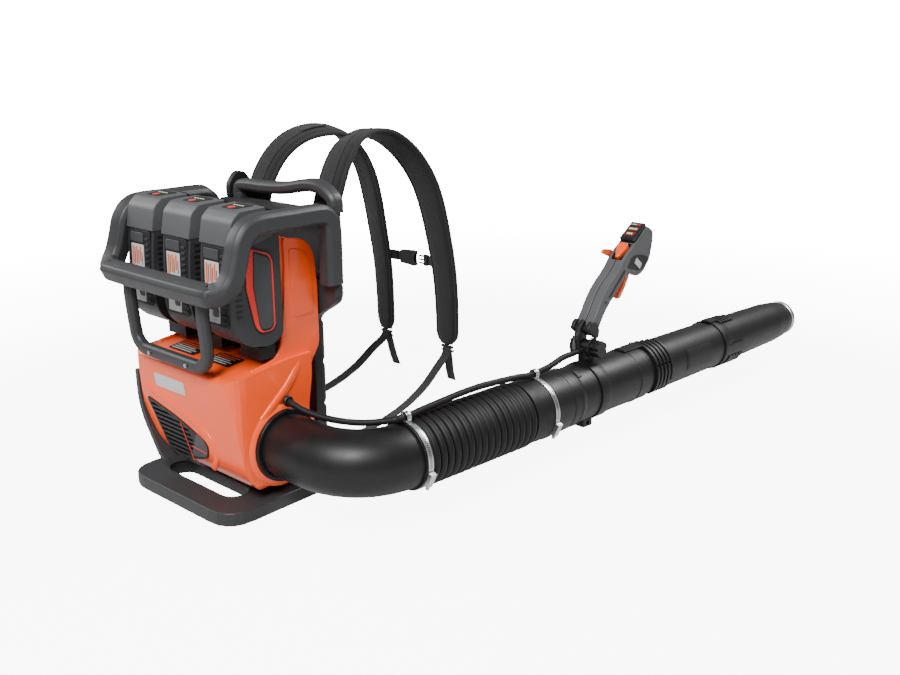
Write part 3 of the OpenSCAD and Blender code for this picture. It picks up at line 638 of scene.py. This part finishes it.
RIBS, RIB_START, RIB_PITCH, HOSE_END, HOSE_SPLIT = 16, 22.0, 17.8, 376.0, 190.0
RIB_FOOT, RIB_HEIGHT, CUFF_R = 62.6, 7.2, 67.0
END_BORE, MIDDLE_BORE = 63.2, 59.9


def hose_radius(s):
    """Outside of the hose at a station: two plain cuffs and rounded ribs between."""
    along = (s - RIB_START) / RIB_PITCH
    if 0 <= along < RIBS:
        t = along % 1
        return RIB_FOOT + RIB_HEIGHT * max(0.0, math.sin(math.pi * min(1, t / 0.86))) ** 0.55
    return CUFF_R


def hose_half(name, s0, s1):
    """Half of the hose, between two stations."""
    steps = int((s1 - s0) / 1.1)
    outer = [(hose_radius(s0 + (s1 - s0) * k / steps), s0 + (s1 - s0) * k / steps)
             for k in range(steps + 1)]
    bores = (END_BORE, MIDDLE_BORE) if s0 == 0 else (MIDDLE_BORE, END_BORE)
    profile = outer + [(bores[1], s1), (bores[0], s0)]
    piece = lathe(name, profile, TUBE, "hose_rubber", None, 80, 60)
    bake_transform(piece)
    return piece


hose_near = hose_half("hose_near", 0.0, HOSE_SPLIT)
hose_half("hose_far", HOSE_SPLIT, HOSE_END)
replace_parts(hose_near, "bellows_hose")

# pipes: seams, blank badge, ears and stepped gripping ribs
JOINT_1, JOINT_2, SWIVEL = 665.0, 1020.0, 425.0
for name, s, r, body in (("seam_1", JOINT_1 + 1, 64.0, "blow_tube"),
                         ("seam_2", JOINT_2 + 5, 62.8, "nozzle"),
                         ("lip_1", SWIVEL + 5, 66.2, "blow_tube"),
                         ("lip_2", SWIVEL + 30, 66.0, "blow_tube")):
    lathe(name, [(r - 1.4, s - 2), (r, s - 1), (r, s + 1), (r - 1.4, s + 2)], TUBE,
          "tube_black", body)
arc_plate("pipe_badge_rim", TUBE, (JOINT_1 + 188, JOINT_1 + 300), (59.0, 60.6), (52, 106),
          "tube_black", "blow_tube", 0.5)
arc_plate("pipe_badge", TUBE, (JOINT_1 + 194, JOINT_1 + 294), (59.6, 61.2), (57, 101),
          "core_black", "blow_tube", 0.4)
arc_plate("pipe_ear", TUBE, (JOINT_1 - 8, JOINT_1 + 60), (61.5, 67), (-14, 14), "tube_black",
          "blow_tube", 1.0)
arc_plate("first_pad", TUBE, (SWIVEL + 42, SWIVEL + 54), (61, 65.4), (18, 34), "core_black",
          "blow_tube", 0.6)
for k in range(5):
    arc_plate(f"pipe_rib_{k}", TUBE, (JOINT_1 + 57 + 14 * k, JOINT_1 + 65 + 14 * k),
              (59.0, 67.8), (-20 + 5 * k, 66), "tube_black", "blow_tube", 0.8)
    arc_plate(f"pipe_rib_low_{k}", TUBE, (JOINT_1 + 57 + 14 * k, JOINT_1 + 65 + 14 * k),
              (59.0, 67.0), (70, 128 - 5 * k), "tube_black", "blow_tube", 0.8)
    arc_plate(f"nozzle_rib_{k}", TUBE, (JOINT_2 + 30 + 12 * k, JOINT_2 + 37 + 12 * k),
              (56.4, 64.2), (-18 + 3 * k, 22), "tube_black", "nozzle", 1.0)
    arc_plate(f"nozzle_rib_low_{k}", TUBE, (JOINT_2 + 34 + 12 * k, JOINT_2 + 41 + 12 * k),
              (56.4, 63.4), (112, 140), "tube_black", "nozzle", 1.0)
arc_plate("nozzle_ear", TUBE, (JOINT_2 - 4, JOINT_2 + 26), (60.5, 66), (-12, 12), "tube_black",
          "nozzle", 1.0)
arc_plate("nozzle_plate", TUBE, (JOINT_2 + 12, JOINT_2 + 90), (56.6, 62.2), (82, 108),
          "tube_black", "nozzle", 0.8)

NOZZLE_END = 1401.0
lathe("nozzle_trim", [(45.2, NOZZLE_END - 15), (47.0, NOZZLE_END - 14), (46.9, NOZZLE_END - 3),
                      (44.8, NOZZLE_END - 0.3), (42.2, NOZZLE_END - 0.3), (42.2, NOZZLE_END - 4),
                      (45.2, NOZZLE_END - 6)], TUBE, "ring_metal", "nozzle")

# ---- hose clamps: worm slots and the wire loops that hold the cable ----
for name, s, body in (("near", 4.0, "frame"), ("far", 360.0, "hose_end")):
    for k in range(22):
        a = 24 + 3.3 * k
        arc_plate(f"clamp_slot_{name}_{k}", TUBE, (s + 3, s + 9), (68.3, 68.8), (a, a + 1.5),
                  "core_black", body, 0, 2)
    for k, shift in enumerate((1.0, 9.0)):
        centre = on_tube(s + shift, CLIP_UP)
        loop = [centre + Vector((9.4 * math.cos(math.tau * j / 24), 0,
                                 9.4 * math.sin(math.tau * j / 24) - 0.6)) for j in range(24)]
        loop.append(loop[0].copy())
        sweep(f"wire_loop_{name}_{k}", loop, (0, 1, 0), round_section(1.3, 8), "steel", body)

# ---- control cable in its corrugated sheath ----
THREAD, SHEATH_R = 1.6, 6.6
CLIP_1, CLIP_2 = on_tube(10, CLIP_UP), on_tube(366, CLIP_UP)
CABLE_NEAR = [(162, 8, 214), (178, 8, 211), (215, 14, 202), (265, 28, 197), (315, 50, 197),
              (352, 74, 202), CLIP_1 - 26 * tube_dir, CLIP_1 - 10 * tube_dir]
CABLE_MIDDLE = [CLIP_1 - 9.9 * tube_dir, CLIP_1 + 8 * tube_dir,
                CLIP_1 + 70 * tube_dir + Vector((0, 0, 5)),
                CLIP_1 + 180 * tube_dir + Vector((0, 0, 11)),
                CLIP_1 + 290 * tube_dir + Vector((0, 0, 5)), CLIP_2 - 26 * tube_dir,
                CLIP_2 - 10 * tube_dir]
CABLE_FAR = [CLIP_2 - 9.9 * tube_dir, CLIP_2 + 8 * tube_dir,
             CLIP_2 + 50 * tube_dir + Vector((-1, 0, 4)), (413, 560, 219), (415, 600, 221),
             (pivot.x + 9.5, pivot.y - 22.4, 221)]


def sheath_size(s):
    """Two rings in three stand at full size, and the third is a groove."""
    factor = 1.0 if int(s / THREAD + 0.5) % 3 else 0.84
    return factor, factor


def corrugated(name, path, body):
    """A sheath with a fine thread of ribs, as rings set THREAD apart."""
    even, total = [path[0]], 0.0
    for a, b in zip(path, path[1:]):
        length = (b - a).length
        while total + length >= len(even) * THREAD:
            even.append(a.lerp(b, (len(even) * THREAD - total) / length))
        total += length
    return sweep(name, even, (0, 0, 1), round_section(SHEATH_R, 16), "cable_black", body,
                 sheath_size, smooth=80)


def cut(path, s0, s1):
    """The stretch of a path between two stations of the tube."""
    return [p for p in path if s0 <= (p - tube_start).dot(tube_dir) <= s1]


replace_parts(corrugated("cable_sheath_near", smooth_path(CABLE_NEAR, 16), "frame"), "cable_near")
middle = smooth_path(CABLE_MIDDLE, 24)
first = corrugated("cable_sheath_mid_a", cut(middle, -20, 192), None)
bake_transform(first)
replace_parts(first, "cable_middle")
second = corrugated("cable_sheath_mid_b", cut(middle, 186, 380), None)
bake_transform(second)
last = corrugated("cable_sheath_far", smooth_path(CABLE_FAR, 16), None)
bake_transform(last)
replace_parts(last, "cable_far")
# grommet where the cable leaves the body
lathe("cable_grommet", [(7.2, -3), (11.5, -3), (11.5, 3), (9.5, 6), (7.2, 6)],
      plane((161, 8, 214), (0, 1, 0), (0, 0, 1)), "core_black", "frame", 32)

# ---- shoulder straps, their webbing and the back pad ----
STRAP = [(106, 165.6, 505), (106, 174, 560), (104, 192, 606), (96, 222, 650), (84, 262, 680),
         (74, 316, 692), (74, 372, 684), (80, 425, 648), (88, 466, 595), (94, 492, 535),
         (98, 514, 450), (100, 530, 370), (101, 538, 290), (101, 541, 190)]
HALF_STRAP = [(0, 8.6), (10, 8.5), (19, 8.0), (25, 6.6), (28, 4.6), (30, 3.4), (32, 4.4),
              (34.5, 4.8), (37, 3.4), (38, 0)]
strap_section = (HALF_STRAP
                 + [(x, -y) for x, y in reversed(HALF_STRAP[:-1])]
                 + [(-x, -y) for x, y in HALF_STRAP[1:]]
                 + [(-x, y) for x, y in reversed(HALF_STRAP[1:-1])])
WEBBING = [(101, 541, 189.5), (103, 532, 170), (108, 500, 150), (113, 440, 112), (118, 360, 84),
           (123, 270, 72), (126.5, 190, 70), (126.5, 131.2, 70)]
WEBBING_W, SEWN_LIFT = 25, 9.0
# share lost at the lower end, where the narrowing starts, and the length of the rounded tip
STRAP_TAPER, TAPER_FROM, STRAP_TIP = 0.22, 0.45, 34
TAIL = [(98, 540, 189), (97, 548, 160), (94, 556, 125), (92, 566, 96)]


def mirrored(route):
    return [(-x, y, z) for x, y, z in route]


def finer(path, step):
    """The same path with points at most step apart, so that ends can be rounded."""
    out = [path[0]]
    for a, b in zip(path, path[1:]):
        cuts = max(1, math.ceil((b - a).length / step))
        out += [a.lerp(b, k / cuts) for k in range(1, cuts + 1)]
    return out


def strap_looks(side, s, turn):
    """One shoulder strap with its sewn webbing, lower webbing, buckle and chest web."""
    path = finer(smooth_path(turn(STRAP), 8), 4)
    length = sum((b - a).length for a, b in zip(path, path[1:]))

    def strap_size(travelled):
        taper = 1 - STRAP_TAPER * max(0.0, (travelled / length - TAPER_FROM) / (1 - TAPER_FROM))
        close = min(1.0, (length - travelled) / STRAP_TIP)
        end = max(0.12, math.sqrt(max(0.0, 1 - (1 - close) ** 2)))
        return taper * end, 0.35 + 0.65 * min(1.0, end * 1.4, (travelled + 6) / 20)

    strap = sweep(f"strap_pad_{side}", path, (1, 0, 0), strap_section, "strap_fabric", "frame",
                  strap_size, smooth=60)
    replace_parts(strap, "strap_" + side)
    # webbing sewn along the outside of the strap, from its root past the shoulder
    sewn = path[14:86]
    sweep(f"strap_webbing_{side}", sewn, (1, 0, 0), soft_section(WEBBING_W, 1.8, 6), "webbing",
          "frame", lift=-SEWN_LIFT)
    sweep(f"strap_patch_{side}", sewn[-16:], (1, 0, 0), soft_section(29, 3.0, 6), "webbing",
          "frame", lift=-SEWN_LIFT)
    run = sweep(f"webbing_run_{side}", smooth_path(turn(WEBBING), 8), (1, 0, 0),
                soft_section(WEBBING_W, 3.0, 6), "webbing", "frame")
    sweep(f"webbing_tail_{side}", smooth_path(turn(TAIL), 8), (1, 0, 0),
          soft_section(WEBBING_W, 3.0, 6), "webbing", "frame")
    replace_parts(run, "webbing_" + side)
    # ladder buckle at the strap's lower end
    x = 100 * s
    for k, z in enumerate((176, 186, 196)):
        prism(f"ladder_bar_{side}_{k}", slab(x - 17, -3, x + 17, 3, 2.4), (-3.4, 3.4),
              plane((0, 543 - 2 * k, z), (1, 0, 0), (0, 0.25, 1)), "black_plastic", "frame", 1.0)
    # short webbing that carries the chest buckle
    sweep(f"chest_web_{side}", [Vector((s * q, 534 - 0.02 * q, 385)) for q in (100, 86, 70, 52)],
          (0, 0, 1), soft_section(22, 2.2, 6), "webbing", "frame")


strap_looks("right", 1, list)
strap_looks("left", -1, mirrored)


def pad_cushion():
    """The back pad: a crowned cushion with three stitched channels across."""
    low, high = corners("back_pad")
    nx, nz, points = 40, 84, []
    half_wide, half_high = 113, 176
    flat_y, root_y, crown = 131.0, 134, 31
    channel_z, channel_wide, channel_deep = (157, 247, 337), 5.0, 8
    for back_face in (False, True):
        for j in range(nz + 1):
            for i in range(nx + 1):
                u, v = i / nx * 2 - 1, j / nz * 2 - 1
                # the outline is a rounded rectangle
                edge = (abs(u) ** 7 + abs(v) ** 12) ** (1 / 9)
                shrink = 1 / max(1.0, edge)
                x = u * shrink * half_wide
                z = (low.z + high.z) / 2 + v * shrink * half_high
                rim = max(0.0, 1 - max(abs(u) ** 6, abs(v) ** 14))
                y = flat_y
                if back_face:
                    hollow = 5 * (1 - min(1, abs(u) * 2.2) ** 2) if abs(u) < 0.45 else 0
                    channel = sum(math.exp(-((z - c) / channel_wide) ** 2) for c in channel_z)
                    y = (root_y + crown * rim ** 0.35 - hollow
                         - channel_deep * min(1, channel) * rim ** 0.35)
                points.append((x, y, z))
    n, half = nx + 1, (nx + 1) * (nz + 1)
    faces = [(j * n + i + o, j * n + i + 1 + o, (j + 1) * n + i + 1 + o, (j + 1) * n + i + o)
             for o in (0, half) for j in range(nz) for i in range(nx)]
    rim = ([i for i in range(nx)] + [j * n + nx for j in range(nz)]
           + [nz * n + i for i in range(nx, 0, -1)] + [j * n for j in range(nz, 0, -1)])
    faces += [(a, b, b + half, a + half) for a, b in zip(rim, rim[1:] + rim[:1])]
    piece = add("back_cushion", points, faces, "foam", "frame", 70)
    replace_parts(piece, "back_pad")


pad_cushion()

# ---- throttle handle details ----
SIDEWAYS = HANDLE @ SIDE_PLANE
thumb = prism("thumb_pad", rounded([(-11, 45, 7), (11, 45, 7), (13, 33, 8), (8, 12, 10),
                                    (0, 0, 6), (-8, 12, 10), (-13, 33, 8)], 7), (-9, 2.2),
              HANDLE @ plane((0, -10.5, 214.5), (1, 0, 0), (0, 0.2, 1)), "orange_trim", "thumb",
              2.0)
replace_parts(thumb, "thumb_button")
prism("grip_panel", rounded([(14, 206, 6), (38, 214, 8), (62, 222, 8), (78, 240, 8),
                             (82, 268, 8), (60, 262, 6), (34, 250, 8), (16, 236, 6)]),
      (21.6, 23.2), SIDEWAYS, "core_black", "handle", 0.5)
prism("grip_blank", slab(34, 228, 64, 242, 2), (23.0, 23.8), SIDEWAYS, "label_grey", "handle",
      0.2)
prism("grip_insert", rounded([(-13, 118, 3), (-8, 118, 3), (12, 196, 3), (6, 198, 3)]),
      (21.6, 22.8), SIDEWAYS, "core_black", "handle", 0.4)
prism("grip_screw", round_section(3.4, 20, -16, 104), (21.4, 22.5), SIDEWAYS, "core_black",
      "handle", 0.3)
# black collar, yoke and toothed rings where the grip meets its hinge
prism("grip_collar", rounded([(-39, 24, 4), (-37, 38, 5), (-1, 40, 5), (4, 26, 4)]),
      (-23.6, 23.6), SIDEWAYS, "core_black", "handle", 2.0)
for k, x in enumerate((-19.5, 19.5)):
    prism(f"yoke_lobe_{k}", rounded([(-42, 20, 8), (-44, 44, 10), (-24, 52, 10), (-4, 48, 10),
                                     (6, 34, 8), (4, 22, 6)]),
          (x - 5.4, x + 5.4), SIDEWAYS, "core_black", "handle", 3)
for k, (x0, x1, body) in enumerate(((-24.5, -19.4, "handle"), (19.2, 25.2, "blow_tube"))):
    teeth = [(r * math.cos(math.tau * j / 56), r * math.sin(math.tau * j / 56))
             for j, r in enumerate((20.2, 21.8, 21.8, 20.2) * 14)]
    prism(f"toothed_ring_{k}", teeth, (x0, x1),
          Matrix.Translation(pivot) @ SIDE_PLANE, "core_black", body, 0.4)
# cable from the clamp up into the grip
RISER = [(7, -47, 0), (3, -47, 16), (0, -43, 32), (0, -36, 44)]
riser_path = [Vector(CABLE_FAR[-1]) - Vector((0, 12, 1))] + [HANDLE @ Vector(q) for q in RISER]
riser = corrugated("cable_riser", smooth_path(riser_path, 16), None)
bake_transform(riser)
WINDOW = HANDLE @ plane((0, 10.6, 296.7), (1, 0, 0), (0, 24.0, 55.8))
prism("display_glass", rounded([(-15, -26, 5), (15, -26, 5), (15, 26, 7), (-15, 26, 7)]),
      (0.2, 1.2), WINDOW, "display_black", "handle", 0.4)
for row, (count, y) in enumerate(((4, 5), (3, -12))):
    prism(f"display_band_{row}", slab(-12, y - 5, 12, y + 5, 2), (1.0, 1.4), WINDOW,
          "accent_red", "handle", 0)
    prism(f"display_inner_{row}", slab(-11.2, y - 4.2, 11.2, y + 4.2, 1.6), (1.2, 1.6), WINDOW,
          "display_black", "handle", 0)
    for k in range(count):
        x = (k - (count - 1) / 2) * 5.4
        prism(f"display_light_{row}_{k}", slab(x - 1.3, y - 2.6, x + 1.3, y + 2.6, 0.8),
              (1.4, 2.0), WINDOW, "led_green", "handle", 0)
prism("display_red", slab(4, 19, 11, 22, 1), (1.0, 1.6), WINDOW, "accent_red", "handle", 0)
prism("display_blank", slab(-11, 19, 2, 22, 1), (1.0, 1.6), WINDOW, "label_grey", "handle", 0)


# ---- floor, light and camera ----
FLOOR_FADE, FLOOR_ALPHA = (1.3, 3.6), (0.6, 0.0)
WORLD_LIGHT, WORLD_SEEN = 0.32, 20.0
LAMP_TARGET = Vector((0.15, 0.3, 0.3))
LAMPS = (("key", (1.2, -2.0, 2.8), 1.1, 190), ("fill", (-2.4, -1.0, 1.8), 1.4, 44),
         ("rim", (1.2, 2.6, 2.6), 1.2, 105))
CAMERA_LENS, CAMERA_SENSOR, CAMERA_PLACE = 39.06, 36.0, (1.5539, -1.1068, 0.8726)
CAMERA_DOWN, CAMERA_ROUND = 16.84, 41.26


def floor_sheet():
    """A pale floor that fades out with distance."""
    bpy.ops.mesh.primitive_plane_add(size=14, location=(0.3, 0.4, 0))
    floor = bpy.context.object
    floor.name = "floor"
    n = Nodes("floor")
    n.colour((0.93, 0.93, 0.935), 0.01, n.noise(0.4))
    n.link(n.remap(n.noise(3), 0.75, 0.85), n.shader.inputs["Roughness"])
    n.shader.inputs["Specular IOR Level"].default_value = FLOOR_SPECULAR
    away = n.node("ShaderNodeVectorMath", operation="LENGTH")
    n.link(n.place, away.inputs[0])
    fade = n.node("ShaderNodeMapRange")
    for end, distance, alpha in zip(("Min", "Max"), FLOOR_FADE, FLOOR_ALPHA):
        fade.inputs["From " + end].default_value = distance
        fade.inputs["To " + end].default_value = alpha
    n.link(away.outputs["Value"], fade.inputs["Value"])
    n.link(fade.outputs["Result"], n.shader.inputs["Alpha"])
    floor.data.materials.append(n.material)


def world_light():
    """A low even light on the object. The camera alone sees the world as white."""
    world = bpy.context.scene.world or bpy.data.worlds.new("world")
    bpy.context.scene.world = world
    world.use_nodes = True
    tree = world.node_tree
    soft, seen = tree.nodes["Background"], tree.nodes.new("ShaderNodeBackground")
    for background, strength in ((soft, WORLD_LIGHT), (seen, WORLD_SEEN)):
        background.inputs["Color"].default_value = (1.0, 1.0, 1.0, 1)
        background.inputs["Strength"].default_value = strength
    ray = tree.nodes.new("ShaderNodeLightPath")
    both = tree.nodes.new("ShaderNodeMixShader")
    tree.links.new(ray.outputs["Is Camera Ray"], both.inputs[0])
    tree.links.new(soft.outputs[0], both.inputs[1])
    tree.links.new(seen.outputs[0], both.inputs[2])
    tree.links.new(both.outputs[0], tree.nodes["World Output"].inputs["Surface"])


def lamps():
    for name, place, size, power in LAMPS:
        lamp = bpy.data.objects.new(name, bpy.data.lights.new(name, "AREA"))
        lamp.data.energy, lamp.data.size = power, size
        lamp.location = place
        lamp.rotation_euler = (LAMP_TARGET - Vector(place)).to_track_quat("-Z", "Y").to_euler()
        bpy.context.scene.collection.objects.link(lamp)


def photo_camera():
    camera = bpy.data.objects.new("camera", bpy.data.cameras.new("camera"))
    camera.data.lens, camera.data.sensor_width = CAMERA_LENS, CAMERA_SENSOR
    camera.location = CAMERA_PLACE
    camera.rotation_euler = (math.radians(90 - CAMERA_DOWN), 0, math.radians(CAMERA_ROUND))
    bpy.context.scene.collection.objects.link(camera)
    bpy.context.scene.camera = camera


floor_sheet()
world_light()
lamps()
photo_camera()
